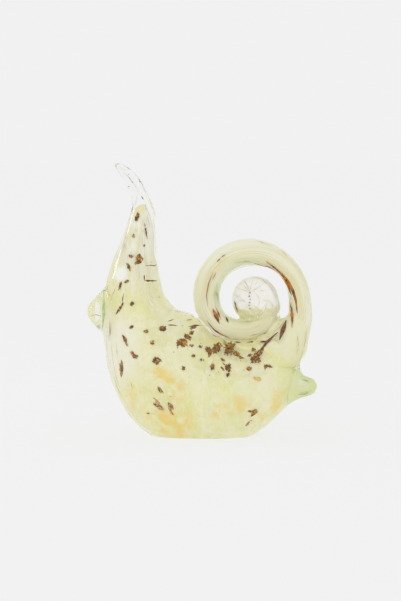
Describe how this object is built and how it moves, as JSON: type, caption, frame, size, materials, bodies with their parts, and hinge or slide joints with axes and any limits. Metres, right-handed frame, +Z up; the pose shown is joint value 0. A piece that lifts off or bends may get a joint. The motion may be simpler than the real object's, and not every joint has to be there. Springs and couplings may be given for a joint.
{
  "type": "snail figurine",
  "caption": "Hot-worked solid glass snail: cased body drawn up into a bent horn, wound rod shell on its back, and pressed-on nose and tail bits.",
  "frame": {"origin": "middle of the whole figure's footprint, on the surface that it stands on", "axes": "+X from the nose to the tail, +Y across the body, +Z up to the horn's tip"},
  "size_m": [0.1038, 0.0508, 0.123],
  "materials": {
    "clear_casing": "fire-polished clear glass with a faint green cast",
    "pale_core": "milky lime and cream glass with amber clouds",
    "green_bit": "fire-polished clear glass, light green",
    "metallic_fleck": "brown glass flecks with a copper glitter"
  },
  "bodies": {
    "root": {"body_casing": "clear_casing", "body_core": "pale_core", "shell_casing": "clear_casing", "shell_core": "pale_core", "nose_bit": "green_bit", "tail_bit": "green_bit", "body_flecks": "metallic_fleck", "neck_flecks": "metallic_fleck", "shell_flecks": "metallic_fleck"}
  },
  "joints": []
}
